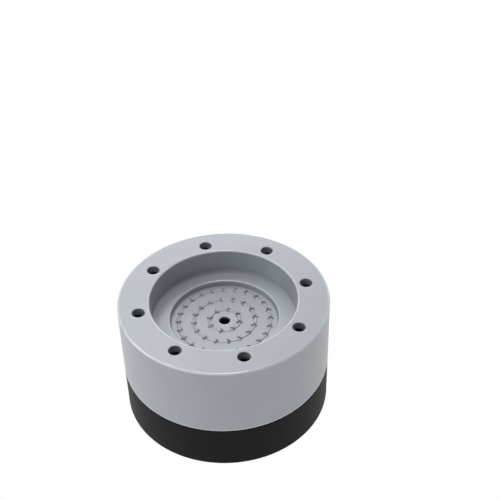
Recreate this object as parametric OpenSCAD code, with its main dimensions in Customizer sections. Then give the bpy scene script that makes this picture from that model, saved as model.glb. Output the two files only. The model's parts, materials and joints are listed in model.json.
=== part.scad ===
// Anti-vibration pad for the foot of a washing machine or dryer.
// A hard grey cup sits over a black rubber base whose core fills it from below.
// The machine's foot stands in the cup on rings of raised arrowheads.
// The origin is the centre of the underside, +Z is up, and a rim hole lies on +X.

/* [Cup] */
// Outside diameter of the pad, which cup and base share
pad_d = 72; // [68:0.5:90]
// Height of the grey cup above the seam
cup_h = 26.5; // [22:0.5:40]
// Thickness of the rim that carries the holes
rim_t = 2.7; // [2:0.1:4]
// Thickness of the outer skirt
skirt_t = 2.5; // [1.8:0.1:3]
// Thickness of the wall round the foot well
well_wall_t = 1.8; // [1.4:0.1:2.2]
// Thickness of the ledge and of the recess floor
floor_t = 2.4; // [1.8:0.1:3.5]
// Rounding of the rim's outer edge
rim_edge_r = 0.6; // [0.2:0.1:1.2]
// Rounding of the well's mouth and of the recess's edge
mouth_edge_r = 0.4; // [0.2:0.1:0.8]
// Rounding in the foot of the well and of the recess
corner_r = 0.5; // [0.2:0.1:1]

/* [Foot well] */
// Diameter of the well that takes the machine's foot
well_d = 50.2; // [44:0.2:52]
// Depth of the well from the rim to the ledge
well_depth = 8.5; // [6:0.1:11]
// Diameter of the round recess inside the ledge
recess_d = 37.2; // [35:0.2:40]
// Depth of the recess below the ledge
recess_depth = 2; // [1.4:0.1:3]

/* [Rim holes] */
// Number of holes in the rim
hole_n = 8; // [4:1:12]
// Diameter of a rim hole
hole_d = 4.3; // [3.4:0.1:4.6]
// Land between the well and a rim hole
hole_inset = 1.9; // [1.8:0.1:2.6]
// Chamfer round the mouth of each hole
hole_chamfer = 0.2; // [0.1:0.05:0.4]
// Diameter of the damping bore in the rubber under each rim hole
damping_d = 3; // [2:0.1:3.4]
// Depth of the damping bores in the rubber
damping_depth = 12; // [6:0.5:16]

/* [Vent] */
// Diameter of the vent in the middle of the recess
vent_d = 3.8; // [2:0.1:4.5]
// Thickness of the lip round the vent
vent_lip_t = 0.8; // [0.6:0.1:1.4]
// Diameter of the vent's wider bore under the lip and through the rubber
vent_bore_d = 6; // [5:0.2:7]

/* [Grip arrows] */
// Number of rings of arrowheads
ring_n = 3; // [1:1:3]
// Distance from one ring to the next, and from the axis to the first
ring_pitch = 5.3; // [4.8:0.1:5.3]
// Arrowheads on the first ring; the second has twice as many, the third three times
arrow_n = 8; // [4:1:9]
// Length of an arrowhead from its tip to the ends of its barbs
arrow_l = 1.7; // [1.4:0.1:2.6]
// Width of an arrowhead across its barbs
arrow_w = 2.2; // [1.4:0.1:2.6]
// Depth of the notch in an arrowhead's tail
notch_l = 0.6; // [0.2:0.1:1]
// Height of an arrowhead at its notch, from which it slopes down all round
arrow_h = 0.8; // [0.5:0.1:1]
// Height of an arrowhead at the ends of its barbs
barb_h = 0.4; // [0.1:0.1:0.8]
// Height of an arrowhead at its tip
tip_h = 0.1; // [0.05:0.05:0.3]
// Width at its foot of the ridge that links a ring's arrowheads
ridge_w = 1.2; // [0.8:0.1:1.4]
// Width of the ridge's flat top
ridge_top_w = 0.7; // [0.3:0.1:0.7]
// Height of the ridge
ridge_h = 0.2; // [0.15:0.05:0.4]
// Turn of the inner ring from the rim hole on +X
inner_turn = 23.5; // [0:0.1:45]
// Turn of the middle ring
middle_turn = 18.5; // [0:0.1:22.5]
// Turn of the outer ring
outer_turn = 5.3; // [0:0.1:15]

/* [Rubber base] */
// Height of the rubber that shows below the seam
base_h = 16.3; // [12:0.1:25]
// Rounding of the base's lower edge
foot_edge_r = 0.5; // [0.2:0.1:1.5]
// Rounding of the two edges that meet at the seam
seam_edge_r = 0.3; // [0.1:0.1:0.6]
// Side clearance between the cup and the rubber inside it
side_gap = 0.15; // [0.05:0.05:0.3]
// Clearance over the rubber where it carries no load
top_gap = 0.2; // [0.1:0.05:0.5]

/* [Tread] */
// Number of round grooves in the underside
groove_n = 3; // [1:1:3]
// Diameter of the innermost groove at its middle
groove_d = 24; // [18:0.5:28]
// Distance from one round groove to the next
groove_pitch = 8.5; // [6:0.1:8.5]
// Number of grooves that run from the innermost round one to the outermost
spoke_n = 16; // [6:1:20]
// Width of every groove
groove_w = 2; // [1:0.1:2.6]
// Depth of every groove
groove_depth = 1.5; // [0.8:0.1:2.5]

/* [Hidden] */
$fn = 96;
// overshoot of cuts and of fillets into the solid that carries them
lap = 0.1;

// levels above the floor that the pad stands on
rim_z = base_h + cup_h;
ledge_z = rim_z - well_depth;
recess_z = ledge_z - recess_depth;
rim_under_z = rim_z - rim_t;
ledge_under_z = ledge_z - floor_t;
recess_under_z = recess_z - floor_t;

// radii of the cup's faces
pad_r = pad_d / 2;
skirt_in_r = pad_r - skirt_t;
well_r = well_d / 2;
well_out_r = well_r + well_wall_t;
recess_r = recess_d / 2;
pan_out_r = recess_r + well_wall_t;
vent_r = vent_d / 2;
vent_bore_r = vent_bore_d / 2;

// circle on which the rim holes and the damping bores lie
hole_r = hole_d / 2;
hole_circle_r = well_r + hole_inset + hole_r;

ring_turns = [inner_turn, middle_turn, outer_turn];

// Square corner less a quarter disc: cut from an outer corner it rounds it,
// added to an inner corner it fills it. The disc lies towards (sx, sz).
module corner(x, z, sx, sz, r) {
    difference() {
        translate([x + sx * (r - lap) / 2, z + sz * (r - lap) / 2])
            square(r + lap, center = true);
        translate([x + sx * r, z + sz * r])
            circle(r);
    }
}

// Half section of the cup: recess, ledge, well, rim and skirt in one wall
module cup_section() {
    difference() {
        union() {
            polygon([
                [0, recess_z],
                [recess_r, recess_z],
                [recess_r, ledge_z],
                [well_r, ledge_z],
                [well_r, rim_z],
                [pad_r, rim_z],
                [pad_r, base_h],
                [skirt_in_r, base_h],
                [skirt_in_r, rim_under_z],
                [well_out_r, rim_under_z],
                [well_out_r, ledge_under_z],
                [pan_out_r, ledge_under_z],
                [pan_out_r, recess_under_z],
                [0, recess_under_z]
            ]);
            corner(well_r, ledge_z, -1, 1, corner_r);
            corner(recess_r, recess_z, -1, 1, corner_r);
        }
        corner(pad_r, rim_z, -1, -1, rim_edge_r);
        corner(well_r, rim_z, 1, -1, mouth_edge_r);
        corner(recess_r, ledge_z, 1, -1, mouth_edge_r);
        corner(pad_r, base_h, -1, 1, seam_edge_r);
    }
}

// Round hole down from a face at height z, with a chamfered mouth
module chamfered_hole(z, r, depth) {
    translate([0, 0, z - depth])
        cylinder(h = depth + lap, r = r);
    translate([0, 0, z - hole_chamfer])
        cylinder(h = hole_chamfer + lap, r1 = r, r2 = r + hole_chamfer + lap);
}

// One arrowhead that points along +Y and stands on a floor at height 0.
// Points 0 to 3 are tip, barb, notch and barb below the floor, 4 to 7 the same on top.
module arrowhead() {
    tip_y = arrow_l / 2;
    barb_y = -arrow_l / 2;
    barb_x = arrow_w / 2;
    notch_y = barb_y + notch_l;
    polyhedron(
        points = [
            [0, tip_y, -lap],
            [-barb_x, barb_y, -lap],
            [0, notch_y, -lap],
            [barb_x, barb_y, -lap],
            [0, tip_y, tip_h],
            [-barb_x, barb_y, barb_h],
            [0, notch_y, arrow_h],
            [barb_x, barb_y, barb_h]
        ],
        faces = [
            [0, 1, 2], [0, 2, 3],
            [4, 6, 5], [4, 7, 6],
            [0, 4, 5, 1], [1, 5, 6, 2], [2, 6, 7, 3], [3, 7, 4, 0]
        ]
    );
}

// Low ridge with sloping sides, with arrowheads that all point the same way round
module arrow_ring(r, count, turn) {
    translate([0, 0, recess_z])
        rotate_extrude()
            polygon([
                [r - ridge_w / 2, -lap],
                [r + ridge_w / 2, -lap],
                [r + ridge_w / 2, 0],
                [r + ridge_top_w / 2, ridge_h],
                [r - ridge_top_w / 2, ridge_h],
                [r - ridge_w / 2, 0]
            ]);
    for (i = [0 : count - 1])
        rotate(turn + i * 360 / count)
            translate([r, 0, recess_z])
                arrowhead();
}

module foot_cup() {
    color([0.68, 0.70, 0.73]) {
        difference() {
            rotate_extrude() cup_section();
            for (i = [0 : hole_n - 1])
                rotate(i * 360 / hole_n)
                    translate([hole_circle_r, 0, 0])
                        chamfered_hole(rim_z, hole_r, rim_t + lap);
            chamfered_hole(recess_z, vent_r, floor_t + lap);
            translate([0, 0, recess_under_z - lap])
                cylinder(h = floor_t - vent_lip_t + lap, r = vent_bore_r);
        }
        for (k = [1 : ring_n])
            arrow_ring(k * ring_pitch, k * arrow_n, ring_turns[k - 1]);
    }
}

// Half section of the rubber: the base that shows, and the core inside the cup.
// The cup's skirt stands on the base, and its recess floor stands on the core.
module rubber_section() {
    difference() {
        polygon([
            [vent_bore_r, 0],
            [pad_r, 0],
            [pad_r, base_h],
            [skirt_in_r - side_gap, base_h],
            [skirt_in_r - side_gap, rim_under_z - top_gap],
            [well_out_r + side_gap, rim_under_z - top_gap],
            [well_out_r + side_gap, ledge_under_z - top_gap],
            [pan_out_r + side_gap, ledge_under_z - top_gap],
            [pan_out_r + side_gap, recess_under_z],
            [vent_bore_r, recess_under_z]
        ]);
        corner(pad_r, 0, -1, 1, foot_edge_r);
        corner(pad_r, base_h, -1, -1, seam_edge_r);
    }
}

// Round grooves, and straight ones that link them. The land round the outside stays whole.
module tread() {
    for (k = [0 : groove_n - 1])
        translate([0, 0, -lap])
            rotate_extrude()
                translate([groove_d / 2 + k * groove_pitch - groove_w / 2, 0])
                    square([groove_w, groove_depth + lap]);
    for (i = [0 : spoke_n - 1])
        rotate((i + 0.5) * 360 / spoke_n)
            translate([groove_d / 2, -groove_w / 2, -lap])
                cube([(groove_n - 1) * groove_pitch, groove_w, groove_depth + lap]);
}

module rubber_base() {
    color([0.10, 0.10, 0.11])
        difference() {
            rotate_extrude() rubber_section();
            for (i = [0 : hole_n - 1])
                rotate(i * 360 / hole_n)
                    translate([hole_circle_r, 0, rim_under_z - top_gap - damping_depth])
                        cylinder(h = damping_depth + lap, d = damping_d);
            tread();
        }
}

foot_cup();
rubber_base();
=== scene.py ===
"""Finished pieces, finishes and studio for a round anti-vibration pad, in metres, +Z up."""

import json
import math

import bmesh
import bpy
from bpy.props import FloatProperty, FloatVectorProperty, IntProperty, PointerProperty
from bpy.types import Operator, Panel, PropertyGroup
from mathutils import Matrix, Vector


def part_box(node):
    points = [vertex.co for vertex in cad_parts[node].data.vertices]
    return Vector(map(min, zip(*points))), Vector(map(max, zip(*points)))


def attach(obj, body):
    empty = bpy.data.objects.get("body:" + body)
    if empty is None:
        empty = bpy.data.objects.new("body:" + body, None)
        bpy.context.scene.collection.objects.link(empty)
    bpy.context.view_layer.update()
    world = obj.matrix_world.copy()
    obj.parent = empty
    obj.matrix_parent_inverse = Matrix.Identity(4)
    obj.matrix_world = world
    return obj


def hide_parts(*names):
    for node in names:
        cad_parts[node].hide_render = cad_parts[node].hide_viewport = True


bl_info = {
    "name": "Anti-vibration pad",
    "version": (1, 0, 0),
    "blender": (4, 5, 0),
    "location": "3D View > Sidebar > Pad",
    "description": "Models the finished pieces of an anti-vibration pad and its studio",
    "category": "Add Mesh",
}

MM = 0.001

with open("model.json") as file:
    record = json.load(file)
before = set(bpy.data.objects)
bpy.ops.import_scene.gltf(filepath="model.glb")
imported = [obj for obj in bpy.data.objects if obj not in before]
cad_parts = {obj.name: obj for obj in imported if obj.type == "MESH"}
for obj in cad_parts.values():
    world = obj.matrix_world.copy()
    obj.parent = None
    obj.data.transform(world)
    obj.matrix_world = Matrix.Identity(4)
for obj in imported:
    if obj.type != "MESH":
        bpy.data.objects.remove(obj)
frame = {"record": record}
bpy.context.view_layer.update()

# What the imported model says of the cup: its box, its well and its ledge
CUP_LOW, CUP_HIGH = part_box("foot_cup")
MOUNTS = {mount["name"]: mount for mount in frame["record"]["mounts"]}
WELL_R = MOUNTS["foot_well"]["dims"]["r_mm"] * MM
LEDGE_Z = MOUNTS["ledge"]["pos_m"][2]
COLOURS = {entry["slot"]: entry["base_color"] for entry in frame["record"]["materials"]}

# Overshoot of cuts and of what is added, so that no two faces lie in one plane
LAP = 0.2 * MM
# Two points closer than this are one point
NEAR = 0.001 * MM
# Facets of a full turn, and of the cutters for the rim holes and the damping bores
TURN_STEPS = 256
HOLE_STEPS = 64
BORE_STEPS = 48
# Steps in each rounded edge, and in those of the arrowheads
ROUND_STEPS = 5
ARROW_ROUND_STEPS = 2
SMOOTH_ANGLE = math.radians(30)

# Spots per metre in the slow drift of tone, and how coarse the speckle is beside the grain
DRIFT_SPOTS = 70
SPECKLE_SHARE = 0.6
# Weight of the speckle in the tone, and the values that the noises mostly keep between
SPECKLE_WEIGHT = 0.5
TONE_NOISE = (0.45, 1.05)
SPECKLE_NOISE = (0.3, 0.7)

# How much paler and smoother a full painted highlight makes the cup, with painted shade below 0
# making it darker and rougher; how far either reaches from the middle of an edge or corner, and
# the share of that reach within which it is full
PAINTED_LIGHT_PALER = 0.7
PAINTED_LIGHT_SMOOTHER = 0.06
PAINTED_LIGHT_REACH = 0.6 * MM
PAINTED_LIGHT_FULL = 0.3
# Middle of the painted highlight on a rounded edge: how far in from the wall and down from the
# face, as shares of the rounding's radius
HIGHLIGHT_IN = 0.4
HIGHLIGHT_DOWN = 0.2
# The painted highlight on each edge of the cup, a paler band along its rounding
RIM_HIGHLIGHT = 1
SEAM_HIGHLIGHT = 0.5
WELL_HIGHLIGHT = 0.5
RECESS_HIGHLIGHT = 0.3
# The painted shade in the inner corners and on the grip arrows, which darkens them and so is
# below 0
CORNER_SHADE = -0.4
ARROW_SHADE = -0.35
# The painted shade on the arrows sets in between these heights over the recess floor, and
# between these distances from the recess's wall
ARROW_SHADE_HEIGHTS = (0.2 * MM, 0.4 * MM)
ARROW_SHADE_DISTANCES = (0.5 * MM, 1 * MM)

# How far the floor lies under the pad, how far its ring reaches in under the base, how far its
# small disc reaches out from the vent, and how many times wider than its hole the ring is
FLOOR_DROP = 0.02 * MM
FLOOR_UNDER_BASE = 3 * MM
FLOOR_ROUND_VENT = 1 * MM
FLOOR_WIDTH = 100
# The floor as it is seen: how much light it throws back, and the glow that lifts it to white
FLOOR_SEEN = (0.4, 0.4, 0.4, 1)
FLOOR_GLOW = 0.65

WHITE = (1, 1, 1, 1)
# Strength of the surround's light at the level of the floor, and how fast it fades upwards
SKY_STRENGTH = 0.47
SKY_FADE = 4
# The surround as it is seen darkens between these heights, to this strength
CEILING_HEIGHTS = (0.3, 0.65)
CEILING_STRENGTH = 0.1

# The lamps: name, azimuth and elevation in degrees, size in metres and power in watts.
# Azimuths are counted from the camera's side, with 0 in front and 90 on the right.
LAMPS = (
    ("Back lamp", 180, 20, 0.5, 2.1),
    ("Top lamp", 180, 75, 0.2, 1.45),
    ("Left lamp", 270, 50, 0.5, 1.3),
    ("Low left lamp", 270, 20, 0.5, 1.3),
    ("Front top lamp", 0, 80, 0.2, 0.8),
    ("High back lamp", 180, 50, 0.5, 0.7),
    ("Small back lamp", 200, 50, 0.2, 0.55),
    ("Low front left lamp", 315, 20, 0.5, 0.5),
    ("Front left lamp", 326, 46, 0.2, 0.3),
    ("Right back lamp", 135, 50, 0.5, 0.3),
)
# How far every lamp stands from the pad, in metres
LAMP_DISTANCE = 1

# The camera as it was fitted to the picture. In degrees: how far it is turned round the pad,
# how far down it looks and how far it leans. Its place is counted in a unit, the pad's radius.
# Last, the nearest and farthest that it sees, in metres.
CAMERA_TURN = -13.2
CAMERA_DOWN = 38.733
CAMERA_ROLL = -1.4189
CAMERA_PLACE = (0.2602, -6.81708, 7.22127)
CAMERA_UNIT = 36 * MM
CAMERA_REACH = (0.01, 20)
# Focal length and width of the picture in pixels, and width of the camera's sensor
FOCAL_PX = 966.5
PICTURE_PX = 500
SENSOR_MM = 36


def length(name, description, default):
    """A length property in metres."""
    return FloatProperty(
        name=name, description=description, default=default, min=0, unit="LENGTH", precision=5
    )


def colour(name, description, default):
    """A colour property in linear light."""
    return FloatVectorProperty(
        name=name, description=description, default=default, size=3, min=0, max=1, subtype="COLOR"
    )


class PadCupSizes(PropertyGroup):
    """Sizes of the grey cup."""

    pad_r: length("Pad radius", "Outside radius of the pad", CUP_HIGH.x)
    rim_z: length("Rim height", "Height of the rim above the floor", CUP_HIGH.z)
    seam_z: length("Seam height", "Height of the seam between cup and rubber", CUP_LOW.z)
    well_r: length("Well radius", "Radius of the well for the machine's foot", WELL_R)
    ledge_z: length("Ledge height", "Height of the flat ledge in the well", LEDGE_Z)
    recess_r: length("Recess radius", "Radius of the recess inside the ledge", 18.6 * MM)
    recess_depth: length("Recess depth", "Depth of the recess below the ledge", 2 * MM)
    rim_t: length("Rim thickness", "Thickness of the rim", 2.7 * MM)
    skirt_t: length("Skirt thickness", "Thickness of the outer skirt", 2.5 * MM)
    wall_t: length("Well wall", "Thickness of the wall round the well", 1.8 * MM)
    floor_t: length("Floor thickness", "Thickness of ledge and recess floor", 2.4 * MM)
    rim_edge_r: length("Rim edge", "Rounding of the rim's outer edge", 0.6 * MM)
    mouth_edge_r: length("Mouth edges", "Rounding of the well's and recess's mouth", 0.5 * MM)
    corner_r: length("Inner corners", "Rounding in the foot of well and recess", 0.3 * MM)
    seam_edge_r: length("Seam edge", "Rounding of the skirt's edge at the seam", 0.2 * MM)
    hidden_edge_r: length("Hidden edges", "Rounding of the edges under the cup", 0.2 * MM)
    hole_n: IntProperty(name="Rim holes", description="Number of holes in the rim", default=8)
    hole_r: length("Hole radius", "Radius of a rim hole", 2.15 * MM)
    hole_inset: length("Hole inset", "Land between the well and a rim hole", 1.9 * MM)
    hole_edge_r: length("Hole edge", "Rounding of the mouth of hole and vent", 0.2 * MM)
    vent_r: length("Vent radius", "Radius of the vent in the recess floor", 1.9 * MM)
    vent_lip_t: length("Vent lip", "Thickness of the lip round the vent", 0.8 * MM)
    vent_bore_r: length("Vent bore", "Radius of the wider bore under the lip", 3 * MM)


class PadGripSizes(PropertyGroup):
    """Sizes of the rings of raised arrowheads on the recess floor."""

    ring_pitch: length("Ring pitch", "Distance from one ring to the next", 5.3 * MM)
    arrow_n: IntProperty(
        name="Arrowheads", description="Arrowheads on the first ring; the k-th has k times as many",
        default=8,
    )
    turns: FloatVectorProperty(
        name="Ring turns", description="Turn of each ring from the rim hole on +X",
        default=[math.radians(a) for a in (23.5, 18.5, 5.3)], size=3, unit="ROTATION",
    )
    arrow_l: length("Arrow length", "Length from the tip to the ends of the barbs", 1.7 * MM)
    arrow_w: length("Arrow width", "Width across the barbs", 2.2 * MM)
    notch_l: length("Notch", "Depth of the notch in the tail", 0.6 * MM)
    arrow_h: length("Notch height", "Height at the notch, the highest point", 0.8 * MM)
    barb_h: length("Barb height", "Height at the ends of the barbs", 0.4 * MM)
    tip_h: length("Tip height", "Height at the tip", 0.1 * MM)
    arrow_edge_r: length("Arrow edge", "Rounding of the arrowheads' edges", 0.06 * MM)
    ridge_w: length("Ridge width", "Width of the ridge at its foot", 1.2 * MM)
    ridge_top_w: length("Ridge top", "Width of the ridge's flat top", 0.7 * MM)
    ridge_h: length("Ridge height", "Height of the ridge", 0.2 * MM)
    ridge_edge_r: length("Ridge edge", "Rounding of the ridge's top edges", 0.1 * MM)


class PadBaseSizes(PropertyGroup):
    """Sizes of the black rubber base."""

    foot_edge_r: length("Foot edge", "Rounding of the lower edge", 0.2 * MM)
    seam_edge_r: length("Seam edge", "Rounding of the rubber's edge at the seam", 0.6 * MM)
    side_gap: length("Side gap", "Clearance beside the rubber inside the cup", 0.15 * MM)
    top_gap: length("Top gap", "Clearance over the rubber that carries no load", 0.2 * MM)
    bore_r: length("Bore radius", "Radius of the damping bore under a rim hole", 1.5 * MM)
    bore_depth: length("Bore depth", "Depth of the damping bores", 12 * MM)
    groove_n: IntProperty(name="Grooves", description="Round grooves in the tread", default=3)
    groove_r: length("First groove", "Radius of the innermost groove at its middle", 12 * MM)
    groove_pitch: length("Groove pitch", "Distance from one groove to the next", 8.5 * MM)
    groove_w: length("Groove width", "Width of every groove", 2 * MM)
    groove_depth: length("Groove depth", "Depth of every groove", 1.5 * MM)
    groove_edge_r: length("Groove edge", "Rounding of the grooves' edges", 0.3 * MM)
    spoke_n: IntProperty(name="Spokes", description="Grooves that run outwards", default=16)


class PadFinishes(PropertyGroup):
    """Colours of the pad and its studio."""

    grey: colour("Grey plastic", "Colour of the cup", COLOURS["grey_plastic"])
    black: colour("Black rubber", "Colour of the base", COLOURS["black_rubber"])
    floor: colour("Floor", "Colour of the studio floor", (0.8, 0.8, 0.8))


SETTINGS = {
    "pad_cup": PadCupSizes,
    "pad_grip": PadGripSizes,
    "pad_base": PadBaseSizes,
    "pad_finishes": PadFinishes,
}


def start_clean():
    """Leaves edit mode and deselects all, because an operator acts on whatever is selected."""
    if bpy.context.mode != "OBJECT":
        bpy.ops.object.mode_set(mode="OBJECT")
    bpy.ops.object.select_all(action="DESELECT")


def choose(piece):
    """Selects one piece alone and makes it the active one."""
    start_clean()
    piece.select_set(True)
    bpy.context.view_layer.objects.active = piece


def pick(piece, test):
    """Selects the vertices of a piece in edit mode whose place passes a test."""
    bpy.ops.mesh.select_mode(type="VERT")
    bpy.ops.mesh.select_all(action="DESELECT")
    shape = bmesh.from_edit_mesh(piece.data)
    for vertex in shape.verts:
        if test(vertex.co):
            vertex.select_set(True)
    shape.select_flush_mode()
    bmesh.update_edit_mesh(piece.data)


def pick_at(piece, points):
    """Selects the vertices of a piece in edit mode that lie at one of the points."""
    pick(piece, lambda place: any((place - point).length < NEAR for point in points))


def draw_outline(name, corners):
    """Draws a closed outline as a new piece and stays in edit mode.

    Each corner is a point and the rounding that it gets. The outline starts as a plane that
    is merged to one vertex, which is then extruded from corner to corner.
    """
    start_clean()
    bpy.ops.mesh.primitive_plane_add(size=MM)
    piece = bpy.context.object
    piece.name = piece.data.name = name
    bpy.ops.object.mode_set(mode="EDIT")
    bpy.ops.mesh.select_mode(type="VERT")
    bpy.ops.mesh.merge(type="CENTER")
    points = [Vector(point) for point, _ in corners]
    bpy.ops.transform.translate(value=points[0])
    for start, end in zip(points, points[1:]):
        bpy.ops.mesh.extrude_vertices_move(TRANSFORM_OT_translate={"value": end - start})
    pick_at(piece, (points[0], points[-1]))
    bpy.ops.mesh.edge_face_add()
    for radius in sorted({rounding for _, rounding in corners if rounding}):
        rounded = [point for point, (_, rounding) in zip(points, corners) if rounding == radius]
        pick_at(piece, rounded)
        bpy.ops.mesh.bevel(offset=radius, segments=ROUND_STEPS, affect="VERTICES")
    return piece


def fill_outline(piece, facing):
    """Fills the outline of a piece in edit mode with one face that faces the given way."""
    bpy.ops.mesh.select_all(action="SELECT")
    bpy.ops.mesh.edge_face_add()
    face = next(iter(bmesh.from_edit_mesh(piece.data).faces))
    if face.normal.dot(Vector(facing)) < 0:
        bpy.ops.mesh.flip_normals()


def close_up():
    """Merges doubled vertices of the piece in edit mode and turns its faces outwards."""
    bpy.ops.mesh.select_all(action="SELECT")
    bpy.ops.mesh.remove_doubles(threshold=NEAR)
    bpy.ops.mesh.delete_loose()
    bpy.ops.mesh.select_all(action="SELECT")
    bpy.ops.mesh.normals_make_consistent(inside=False)
    bpy.ops.object.mode_set(mode="OBJECT")


def turned_piece(name, section, centre=(0, 0, 0), steps=TURN_STEPS):
    """Spins a half section, given as (radius, height, rounding), once round an upright axis."""
    middle = Vector(centre)
    piece = draw_outline(name, [(middle + Vector((r, 0, z)), edge) for r, z, edge in section])
    bpy.ops.mesh.select_all(action="SELECT")
    bpy.ops.mesh.spin(steps=steps, angle=math.tau, center=centre, axis=(0, 0, 1))
    close_up()
    return piece


def repeat_round(count):
    """Copies what is selected in edit mode, so that count of it stand evenly round the axis."""
    bpy.ops.mesh.select_all(action="SELECT")
    angle = math.tau * (count - 1) / count
    bpy.ops.mesh.spin(steps=count - 1, dupli=True, angle=angle, center=(0, 0, 0), axis=(0, 0, 1))


def combine(piece, tool, operation):
    """Adds a tool to a piece (UNION) or cuts it out (DIFFERENCE), and removes the tool."""
    choose(piece)
    step = piece.modifiers.new(operation.title(), "BOOLEAN")
    step.object = tool
    step.operation = operation
    step.solver = "EXACT"
    bpy.ops.object.modifier_apply(modifier=step.name)
    bpy.data.objects.remove(tool, do_unlink=True)
    bpy.ops.object.mode_set(mode="EDIT")
    close_up()


def flare(x, z, radius):
    """Points of a quarter turn up the wall at x and out over the face at z."""
    angles = [step / ROUND_STEPS * math.pi / 2 for step in range(ROUND_STEPS + 1)]
    return [(x + radius * (1 - math.cos(a)), z - radius * (1 - math.sin(a))) for a in angles]


def dress(piece, node, material):
    """Smooths a finished piece, gives it its finish and lets it stand for its CAD node."""
    choose(piece)
    bpy.ops.object.shade_smooth_by_angle(angle=SMOOTH_ANGLE)
    step = piece.modifiers.new("Flat faces stay flat", "WEIGHTED_NORMAL")
    step.keep_sharp = True
    bpy.ops.object.modifier_apply(modifier=step.name)
    piece.data.materials.clear()
    piece.data.materials.append(material)
    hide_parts(node)
    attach(piece, "root")


def cup_section(cup):
    """Half section of the cup as (radius, height, rounding), from the vent outwards."""
    recess_z = cup.ledge_z - cup.recess_depth
    lip_z = recess_z - cup.vent_lip_t
    hidden = cup.hidden_edge_r
    return [
        (cup.vent_r, recess_z, cup.hole_edge_r),
        (cup.recess_r, recess_z, cup.corner_r),
        (cup.recess_r, cup.ledge_z, cup.mouth_edge_r),
        (cup.well_r, cup.ledge_z, cup.corner_r),
        (cup.well_r, cup.rim_z, cup.mouth_edge_r),
        (cup.pad_r, cup.rim_z, cup.rim_edge_r),
        (cup.pad_r, cup.seam_z, cup.seam_edge_r),
        (cup.pad_r - cup.skirt_t, cup.seam_z, hidden),
        (cup.pad_r - cup.skirt_t, cup.rim_z - cup.rim_t, hidden),
        (cup.well_r + cup.wall_t, cup.rim_z - cup.rim_t, hidden),
        (cup.well_r + cup.wall_t, cup.ledge_z - cup.floor_t, hidden),
        (cup.recess_r + cup.wall_t, cup.ledge_z - cup.floor_t, hidden),
        (cup.recess_r + cup.wall_t, recess_z - cup.floor_t, hidden),
        (cup.vent_bore_r, recess_z - cup.floor_t, hidden),
        (cup.vent_bore_r, lip_z, 0),
        (cup.vent_r, lip_z, 0),
    ]


def cutters_round(cup, name, section, steps):
    """A cutter turned from a section at the place of each rim hole, all in one mesh."""
    circle_r = cup.well_r + cup.hole_inset + cup.hole_r
    cutters = turned_piece(name, section, centre=(circle_r, 0, 0), steps=steps)
    bpy.ops.object.mode_set(mode="EDIT")
    repeat_round(cup.hole_n)
    bpy.ops.object.mode_set(mode="OBJECT")
    return cutters


def hole_cutters(cup):
    """A cutter with a flared mouth for each rim hole, all in one mesh."""
    low_z = cup.rim_z - cup.rim_t - LAP
    high_z = cup.rim_z + LAP
    mouth = flare(cup.hole_r, cup.rim_z, cup.hole_edge_r)
    wall = [(0, low_z), (cup.hole_r, low_z), *mouth, (mouth[-1][0] + LAP, high_z), (0, high_z)]
    return cutters_round(cup, "Rim hole cutters", [(r, z, 0) for r, z in wall], HOLE_STEPS)


def grip_ridge(cup, grip, ring_r):
    """The low ridge that links the arrowheads of one ring."""
    floor_z = cup.ledge_z - cup.recess_depth
    foot, top = grip.ridge_w / 2, grip.ridge_top_w / 2
    return turned_piece("Grip ridge", [
        (ring_r - foot, floor_z - LAP, 0),
        (ring_r + foot, floor_z - LAP, 0),
        (ring_r + foot, floor_z, 0),
        (ring_r + top, floor_z + grip.ridge_h, grip.ridge_edge_r),
        (ring_r - top, floor_z + grip.ridge_h, grip.ridge_edge_r),
        (ring_r - foot, floor_z, 0),
    ])


def grip_arrows(cup, grip, ring_r, count, turn):
    """The raised arrowheads of one ring, which all point the same way round.

    Each is highest at the notch in its tail and slopes down to its barbs and its tip.
    """
    floor_z = cup.ledge_z - cup.recess_depth
    half_l, half_w = grip.arrow_l / 2, grip.arrow_w / 2
    place = Matrix.Rotation(turn, 4, "Z") @ Matrix.Translation((ring_r, 0, 0))
    tip, notch, *barbs = [
        place @ Vector((x, y, 0))
        for x, y in ((0, half_l), (0, grip.notch_l - half_l), (-half_w, -half_l), (half_w, -half_l))
    ]
    low = Vector((0, 0, floor_z - 2 * LAP))
    arrows = draw_outline(
        "Grip arrowheads", [(corner + low, 0) for corner in (tip, barbs[0], notch, barbs[1])]
    )
    fill_outline(arrows, facing=(0, 0, 1))
    bpy.ops.mesh.extrude_region_move(
        TRANSFORM_OT_translate={"value": (0, 0, grip.tip_h + 2 * LAP)}
    )
    top = Vector((0, 0, floor_z + grip.tip_h))
    pick_at(arrows, (tip + top, notch + top))
    bpy.ops.mesh.vert_connect()
    for corners, height in ((barbs, grip.barb_h), ([notch], grip.arrow_h)):
        pick_at(arrows, [corner + top for corner in corners])
        bpy.ops.transform.translate(value=(0, 0, height - grip.tip_h))
    pick(arrows, lambda place: place.z > floor_z)
    bpy.ops.mesh.select_mode(type="EDGE")
    bpy.ops.mesh.bevel(offset=grip.arrow_edge_r, segments=ARROW_ROUND_STEPS, affect="EDGES")
    repeat_round(count)
    close_up()
    return arrows


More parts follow.
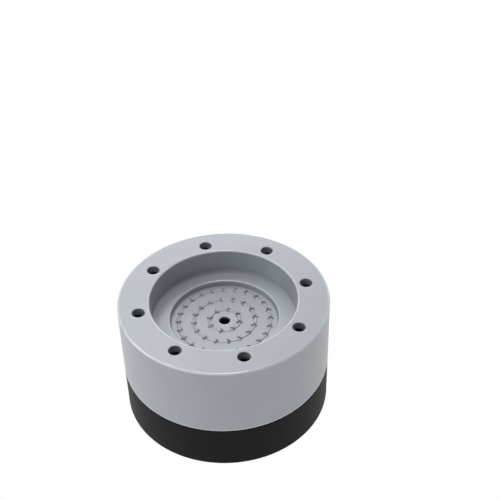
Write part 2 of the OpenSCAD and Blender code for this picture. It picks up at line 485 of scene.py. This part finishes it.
def base_section(cup, base):
    """Half section of the rubber as (radius, height, rounding), from the bore outwards."""
    core_z = cup.ledge_z - cup.recess_depth - cup.floor_t
    step_z = cup.ledge_z - cup.floor_t - base.top_gap
    ring_z = cup.rim_z - cup.rim_t - base.top_gap
    skirt_in_r = cup.pad_r - cup.skirt_t - base.side_gap
    well_out_r = cup.well_r + cup.wall_t + base.side_gap
    pan_out_r = cup.recess_r + cup.wall_t + base.side_gap
    hidden, edge = cup.hidden_edge_r, base.groove_edge_r
    section = [(cup.vent_bore_r, 0, hidden)]
    for k in range(base.groove_n):
        inner_r = base.groove_r + k * base.groove_pitch - base.groove_w / 2
        outer_r = inner_r + base.groove_w
        section += [
            (inner_r, 0, edge), (inner_r, base.groove_depth, edge),
            (outer_r, base.groove_depth, edge), (outer_r, 0, edge),
        ]
    return section + [
        (cup.pad_r, 0, base.foot_edge_r),
        (cup.pad_r, cup.seam_z, base.seam_edge_r),
        (skirt_in_r, cup.seam_z, 0),
        (skirt_in_r, ring_z, hidden),
        (well_out_r, ring_z, hidden),
        (well_out_r, step_z, 0),
        (pan_out_r, step_z, 0),
        (pan_out_r, core_z, hidden),
        (cup.vent_bore_r, core_z, hidden),
    ]


def spoke_cutters(base):
    """Cutters for the straight grooves that link the round ones, all in one mesh."""
    half_w, depth, edge = base.groove_w / 2, base.groove_depth, base.groove_edge_r
    mouth = [(y, -z) for y, z in flare(half_w, 0, edge)]
    wide = mouth[-1][0] + LAP
    side = [(wide, -LAP), *reversed(mouth)]
    outline = [((y, z), 0) for y, z in side] + [((half_w, depth), edge), ((-half_w, depth), edge)]
    outline += [((-y, z), 0) for y, z in reversed(side)]
    cutters = draw_outline(
        "Spoke cutters", [((base.groove_r, y, z), rounding) for (y, z), rounding in outline]
    )
    fill_outline(cutters, facing=(1, 0, 0))
    reach = (base.groove_n - 1) * base.groove_pitch
    bpy.ops.mesh.extrude_region_move(TRANSFORM_OT_translate={"value": (reach, 0, 0)})
    bpy.ops.mesh.select_all(action="SELECT")
    half_step = math.pi / base.spoke_n
    bpy.ops.transform.rotate(value=half_step, orient_axis="Z", center_override=(0, 0, 0))
    repeat_round(base.spoke_n)
    close_up()
    return cutters


def bore_cutters(cup, base):
    """A cutter for the damping bore under each rim hole, all in one mesh."""
    ring_z = cup.rim_z - cup.rim_t - base.top_gap
    low_z, high_z = ring_z - base.bore_depth, ring_z + LAP
    wall = [(0, low_z, 0), (base.bore_r, low_z, 0), (base.bore_r, high_z, 0), (0, high_z, 0)]
    return cutters_round(cup, "Bore cutters", wall, BORE_STEPS)


def add_node(tree, kind, values=None, **settings):
    """Adds a shader node with the given values on its inputs, and settings of its own."""
    node = tree.nodes.new(kind)
    for name, value in (values or {}).items():
        node.inputs[name].default_value = value
    for name, value in settings.items():
        setattr(node, name, value)
    return node


def add_math(tree, operation, values=None, **settings):
    """Adds a node that works out one number."""
    return add_node(tree, "ShaderNodeMath", values, operation=operation, **settings)


def add_ramp(tree, values, results, **settings):
    """Adds a node that turns the range values into the range results."""
    names = ("From Min", "From Max", "To Min", "To Max")
    return add_node(tree, "ShaderNodeMapRange", dict(zip(names, (*values, *results))), **settings)


def empty_tree(owner):
    """Turns on the nodes of a material or world and clears them."""
    owner.use_nodes = True
    owner.node_tree.nodes.clear()
    return owner.node_tree


def link(tree, *pairs):
    """Links sockets, each pair from an output to an input."""
    for start, end in pairs:
        tree.links.new(start, end)


def band_share(tree, place, middle, most):
    """A socket that is most near the point middle and falls to 0 at the distance PAINTED_LIGHT_REACH."""
    away = add_node(tree, "ShaderNodeVectorMath", {1: middle}, operation="DISTANCE")
    share = add_ramp(
        tree, (PAINTED_LIGHT_REACH, PAINTED_LIGHT_FULL * PAINTED_LIGHT_REACH), (0, most), interpolation_type="SMOOTHSTEP"
    )
    link(tree, (place, away.inputs[0]), (away.outputs["Value"], share.inputs["Value"]))
    return share.outputs["Result"]


def painted_light_share(tree, position, cup):
    """A socket above 0 where a highlight is painted on the cup's edges, and below 0 where shade is
    painted in its corners and on its arrowheads.
    """
    split = add_node(tree, "ShaderNodeSeparateXYZ")
    flat = add_node(tree, "ShaderNodeVectorMath", {1: (1, 1, 0)}, operation="MULTIPLY")
    radius = add_node(tree, "ShaderNodeVectorMath", operation="LENGTH")
    section = add_node(tree, "ShaderNodeCombineXYZ")
    # shade is painted on the arrowheads' upper parts, away from the recess's wall
    recess_z = cup.ledge_z - cup.recess_depth
    raised = add_ramp(tree, [recess_z + height for height in ARROW_SHADE_HEIGHTS], (0, ARROW_SHADE))
    inward = add_ramp(tree, [cup.recess_r - away for away in ARROW_SHADE_DISTANCES], (0, 1))
    shaded_arrows = add_math(tree, "MULTIPLY")
    link(
        tree,
        (position, split.inputs[0]),
        (position, flat.inputs[0]),
        (flat.outputs[0], radius.inputs[0]),
        (radius.outputs["Value"], section.inputs["X"]),
        (split.outputs["Z"], section.inputs["Y"]),
        (split.outputs["Z"], raised.inputs["Value"]),
        (radius.outputs["Value"], inward.inputs["Value"]),
        (raised.outputs["Result"], shaded_arrows.inputs[0]),
        (inward.outputs["Result"], shaded_arrows.inputs[1]),
    )
    share = shaded_arrows.outputs[0]
    rim_in, rim_down = HIGHLIGHT_IN * cup.rim_edge_r, HIGHLIGHT_DOWN * cup.rim_edge_r
    mouth_in, mouth_down = HIGHLIGHT_IN * cup.mouth_edge_r, HIGHLIGHT_DOWN * cup.mouth_edge_r
    # painted highlights on the rounded edges, and painted shade in the inner corners
    for r, z, most in (
        (cup.pad_r - rim_in, cup.rim_z - rim_down, RIM_HIGHLIGHT),
        (cup.pad_r, cup.seam_z + cup.seam_edge_r, SEAM_HIGHLIGHT),
        (cup.well_r + mouth_in, cup.rim_z - mouth_down, WELL_HIGHLIGHT),
        (cup.recess_r + mouth_in, cup.ledge_z - mouth_down, RECESS_HIGHLIGHT),
        # painted shade in the inner corners at the foot of well and recess
        (cup.well_r, cup.ledge_z, CORNER_SHADE),
        (cup.recess_r, recess_z, CORNER_SHADE),
    ):
        band = band_share(tree, section.outputs[0], (r, z, 0), most)
        total = add_math(tree, "ADD")
        link(tree, (share, total.inputs[0]), (band, total.inputs[1]))
        share = total.outputs[0]
    return share


def grained_material(
    name, base, tones, grain_size, grain_depth, roughness, ior, metallic=0, cup=None
):
    """A moulded finish: a tone that drifts over the piece, and a fine grain.

    tones are the darkest and lightest share of the base colour, the grain's size and depth
    are in metres, and roughness is the least and the most. With the cup's sizes given,
    highlights are painted on its edges, and shade in its corners and on its arrowheads.
    """
    material = bpy.data.materials.new(name)
    tree = empty_tree(material)
    output = add_node(tree, "ShaderNodeOutputMaterial")
    shader = add_node(tree, "ShaderNodeBsdfPrincipled", {"IOR": ior, "Metallic": metallic})
    place = add_node(tree, "ShaderNodeTexCoord")
    drift = add_node(
        tree, "ShaderNodeTexNoise", {"Scale": DRIFT_SPOTS, "Detail": 4, "Roughness": 0.6}
    )
    speckle = add_node(
        tree, "ShaderNodeTexNoise", {"Scale": SPECKLE_SHARE / grain_size, "Detail": 3}
    )
    fine = add_node(tree, "ShaderNodeTexNoise", {"Scale": 1 / grain_size, "Detail": 2})
    blend = add_math(tree, "MULTIPLY_ADD", {1: SPECKLE_WEIGHT})
    tone = add_ramp(tree, TONE_NOISE, tones)
    # pale lifts the colour where a highlight is painted, and lowers it where shade is painted
    pale = add_math(tree, "MULTIPLY_ADD", {0: 0, 1: PAINTED_LIGHT_PALER, 2: 1})
    scale = add_math(tree, "MULTIPLY")
    paint = add_node(tree, "ShaderNodeVectorMath", {0: base}, operation="SCALE")
    gloss = add_ramp(tree, SPECKLE_NOISE, roughness)
    sheen = add_math(tree, "MULTIPLY_ADD", {0: 0, 1: -PAINTED_LIGHT_SMOOTHER})
    relief = add_node(tree, "ShaderNodeBump", {"Distance": grain_depth, "Strength": 1})
    link(
        tree,
        (place.outputs["Object"], drift.inputs["Vector"]),
        (place.outputs["Object"], speckle.inputs["Vector"]),
        (place.outputs["Object"], fine.inputs["Vector"]),
        (speckle.outputs["Fac"], blend.inputs[0]),
        (drift.outputs["Fac"], blend.inputs[2]),
        (blend.outputs[0], tone.inputs["Value"]),
        (tone.outputs["Result"], scale.inputs[0]),
        (pale.outputs[0], scale.inputs[1]),
        (scale.outputs[0], paint.inputs["Scale"]),
        (paint.outputs[0], shader.inputs["Base Color"]),
        (speckle.outputs["Fac"], gloss.inputs["Value"]),
        (gloss.outputs["Result"], sheen.inputs[2]),
        (sheen.outputs[0], shader.inputs["Roughness"]),
        (fine.outputs["Fac"], relief.inputs["Height"]),
        (relief.outputs["Normal"], shader.inputs["Normal"]),
        (shader.outputs["BSDF"], output.inputs["Surface"]),
    )
    # on the cup, highlights are painted on the edges and shade in the corners and on the arrowheads
    if cup:
        share = painted_light_share(tree, place.outputs["Object"], cup)
        link(tree, (share, pale.inputs[0]), (share, sheen.inputs[0]))
    return material


class PAD_OT_foot_cup(Operator):
    """Model the grey cup with its rim holes, its vent and its rings of raised arrowheads"""

    bl_idname = "pad.foot_cup"
    bl_label = "Foot cup"

    def execute(self, context):
        cup, grip = context.scene.pad_cup, context.scene.pad_grip
        piece = turned_piece("moulded_foot_cup", cup_section(cup))
        combine(piece, hole_cutters(cup), "DIFFERENCE")
        for k, turn in enumerate(grip.turns, 1):
            ring_r = k * grip.ring_pitch
            combine(piece, grip_ridge(cup, grip, ring_r), "UNION")
            combine(piece, grip_arrows(cup, grip, ring_r, k * grip.arrow_n, turn), "UNION")
        # the grey finish carries the cup's painted highlights and painted shade
        grey = grained_material(
            "Satin grey plastic", context.scene.pad_finishes.grey,
            tones=(0.97, 1.03), grain_size=0.16 * MM, grain_depth=0.004 * MM,
            roughness=(0.34, 0.4), ior=1.5, metallic=0.3, cup=cup,
        )
        dress(piece, "foot_cup", grey)
        return {"FINISHED"}


class PAD_OT_rubber_base(Operator):
    """Model the black rubber base with its damping bores and its tread"""

    bl_idname = "pad.rubber_base"
    bl_label = "Rubber base"

    def execute(self, context):
        cup, base = context.scene.pad_cup, context.scene.pad_base
        piece = turned_piece("moulded_rubber_base", base_section(cup, base))
        combine(piece, bore_cutters(cup, base), "DIFFERENCE")
        combine(piece, spoke_cutters(base), "DIFFERENCE")
        black = grained_material(
            "Black rubber", context.scene.pad_finishes.black,
            tones=(0.85, 1.15), grain_size=0.22 * MM, grain_depth=0.01 * MM,
            roughness=(0.5, 0.6), ior=1.17,
        )
        dress(piece, "rubber_base", black)
        return {"FINISHED"}


def backdrop_share(tree):
    """A socket that is 1 for what the camera sees, straight or in gloss or glass, and else 0."""
    rays = add_node(tree, "ShaderNodeLightPath")
    either = add_math(tree, "MAXIMUM")
    share = add_math(tree, "MAXIMUM")
    link(
        tree,
        (rays.outputs["Is Camera Ray"], either.inputs[0]),
        (rays.outputs["Is Glossy Ray"], either.inputs[1]),
        (either.outputs[0], share.inputs[0]),
        (rays.outputs["Is Transmission Ray"], share.inputs[1]),
    )
    return share.outputs[0]


def floor_material(base):
    """Pale floor, which looks white where it is fully lit, and is clear from below."""
    material = bpy.data.materials.new("Studio floor")
    tree = empty_tree(material)
    output = add_node(tree, "ShaderNodeOutputMaterial")
    matt = add_node(tree, "ShaderNodeBsdfDiffuse", {"Color": (*base, 1)})
    shown = add_node(tree, "ShaderNodeBsdfDiffuse", {"Color": FLOOR_SEEN})
    glow = add_node(tree, "ShaderNodeEmission", {"Strength": FLOOR_GLOW})
    lifted = add_node(tree, "ShaderNodeAddShader")
    seen = add_node(tree, "ShaderNodeMixShader")
    side = add_node(tree, "ShaderNodeNewGeometry")
    clear = add_node(tree, "ShaderNodeBsdfTransparent")
    sided = add_node(tree, "ShaderNodeMixShader")
    link(
        tree,
        (shown.outputs[0], lifted.inputs[0]),
        (glow.outputs[0], lifted.inputs[1]),
        (backdrop_share(tree), seen.inputs[0]),
        (matt.outputs[0], seen.inputs[1]),
        (lifted.outputs[0], seen.inputs[2]),
        (side.outputs["Backfacing"], sided.inputs[0]),
        (seen.outputs[0], sided.inputs[1]),
        (clear.outputs[0], sided.inputs[2]),
        (sided.outputs[0], output.inputs["Surface"]),
    )
    return material


def add_floor(scene):
    """Adds the floor: wide, open under the base's tread, with a small disc under the vent."""
    start_clean()
    middle = (0, 0, -FLOOR_DROP)
    disc_r = scene.pad_cup.vent_bore_r + FLOOR_ROUND_VENT
    ring_r = scene.pad_cup.pad_r - FLOOR_UNDER_BASE
    bpy.ops.mesh.primitive_circle_add(
        vertices=TURN_STEPS, radius=disc_r, fill_type="NGON", location=middle
    )
    disc = bpy.context.object
    bpy.ops.mesh.primitive_circle_add(vertices=TURN_STEPS, radius=ring_r, location=middle)
    floor = bpy.context.object
    floor.name = floor.data.name = "studio_floor"
    bpy.ops.object.mode_set(mode="EDIT")
    bpy.ops.mesh.extrude_edges_move()
    bpy.ops.transform.resize(value=(FLOOR_WIDTH, FLOOR_WIDTH, 1), center_override=middle)
    bpy.ops.object.mode_set(mode="OBJECT")
    disc.select_set(True)
    bpy.ops.object.join()
    bpy.ops.object.transform_apply()
    bpy.ops.object.mode_set(mode="EDIT")
    bpy.ops.mesh.select_all(action="SELECT")
    bpy.ops.mesh.normals_make_consistent(inside=False)
    bpy.ops.object.mode_set(mode="OBJECT")
    floor.data.materials.append(floor_material(scene.pad_finishes.floor))


def add_camera(scene):
    """Adds the camera at the place that the picture was taken from."""
    # a camera starts out looking straight down, and is tipped up from there
    tip, roll = math.radians(90 - CAMERA_DOWN), math.radians(CAMERA_ROLL)
    turn = Matrix.Rotation(math.radians(CAMERA_TURN), 4, "Z")
    tilt = Matrix.Rotation(tip, 4, "X") @ Matrix.Rotation(roll, 4, "Z")
    data = bpy.data.cameras.new("Camera")
    data.sensor_width = SENSOR_MM
    data.lens = FOCAL_PX * SENSOR_MM / PICTURE_PX
    data.clip_start, data.clip_end = CAMERA_REACH
    camera = bpy.data.objects.new("Camera", data)
    camera.matrix_world = turn @ Matrix.Translation(Vector(CAMERA_PLACE) * CAMERA_UNIT) @ tilt
    scene.collection.objects.link(camera)
    scene.camera = camera


def add_world(scene):
    """Adds a white surround with a darker ceiling, which lights the pad less than it shows."""
    world = bpy.data.worlds.new("Studio")
    tree = empty_tree(world)
    output = add_node(tree, "ShaderNodeOutputWorld")
    light = add_node(tree, "ShaderNodeBackground", {"Color": WHITE})
    seen = add_node(tree, "ShaderNodeBackground", {"Color": WHITE})
    ceiling = add_ramp(
        tree, CEILING_HEIGHTS, (1, CEILING_STRENGTH), interpolation_type="SMOOTHSTEP"
    )
    place = add_node(tree, "ShaderNodeTexCoord")
    height = add_node(tree, "ShaderNodeSeparateXYZ")
    below = add_math(tree, "SUBTRACT", {0: 1}, use_clamp=True)
    fade = add_math(tree, "POWER", {1: SKY_FADE})
    level = add_math(tree, "MULTIPLY", {1: SKY_STRENGTH})
    mix = add_node(tree, "ShaderNodeMixShader")
    link(
        tree,
        (place.outputs["Generated"], height.inputs[0]),
        (height.outputs["Z"], below.inputs[1]),
        (below.outputs[0], fade.inputs[0]),
        (fade.outputs[0], level.inputs[0]),
        (level.outputs[0], light.inputs["Strength"]),
        (height.outputs["Z"], ceiling.inputs["Value"]),
        (ceiling.outputs["Result"], seen.inputs["Strength"]),
        (backdrop_share(tree), mix.inputs[0]),
        (light.outputs[0], mix.inputs[1]),
        (seen.outputs[0], mix.inputs[2]),
        (mix.outputs[0], output.inputs["Surface"]),
    )
    scene.world = world


def add_lamp(name, azimuth, elevation, size, power):
    """Adds a square soft lamp that faces the pad from the given side and height."""
    data = bpy.data.lights.new(name, "AREA")
    data.shape = "SQUARE"
    data.size = size
    data.energy = power
    lamp = bpy.data.objects.new(name, data)
    a, e = math.radians(azimuth + CAMERA_TURN), math.radians(elevation)
    back = Vector((math.sin(a) * math.cos(e), -math.cos(a) * math.cos(e), math.sin(e)))
    lamp.location = back * LAMP_DISTANCE
    lamp.rotation_mode = "QUATERNION"
    lamp.rotation_quaternion = (-back).to_track_quat("-Z", "Y")
    lamp.visible_camera = False
    bpy.context.scene.collection.objects.link(lamp)


class PAD_OT_studio(Operator):
    """Set up the pale floor, the soft lamps, the white surround and the camera"""

    bl_idname = "pad.studio"
    bl_label = "Studio"

    def execute(self, context):
        scene = context.scene
        add_floor(scene)
        add_world(scene)
        for lamp in LAMPS:
            add_lamp(*lamp)
        add_camera(scene)
        scene.view_settings.view_transform = "Standard"
        return {"FINISHED"}


STEPS = (PAD_OT_foot_cup, PAD_OT_rubber_base, PAD_OT_studio)


class PAD_PT_sidebar(Panel):
    """Lists the sizes and colours of the pad and the steps that make it."""

    bl_idname = "PAD_PT_sidebar"
    bl_label = "Anti-vibration pad"
    bl_space_type = "VIEW_3D"
    bl_region_type = "UI"
    bl_category = "Pad"

    def draw(self, context):
        for step in STEPS:
            self.layout.operator(step.bl_idname)
        for name in SETTINGS:
            group = getattr(context.scene, name)
            box = self.layout.box()
            for key in group.__annotations__:
                box.prop(group, key)


def register():
    for name, group in SETTINGS.items():
        bpy.utils.register_class(group)
        setattr(bpy.types.Scene, name, PointerProperty(type=group))
    for step in STEPS:
        bpy.utils.register_class(step)
    bpy.utils.register_class(PAD_PT_sidebar)


def unregister():
    bpy.utils.unregister_class(PAD_PT_sidebar)
    for step in reversed(STEPS):
        bpy.utils.unregister_class(step)
    for name, group in SETTINGS.items():
        delattr(bpy.types.Scene, name)
        bpy.utils.unregister_class(group)


def main():
    """Makes the pad and its studio."""
    register()
    bpy.ops.pad.foot_cup()
    bpy.ops.pad.rubber_base()
    bpy.ops.pad.studio()
    bpy.context.view_layer.update()


if __name__ == "__main__":
    main()
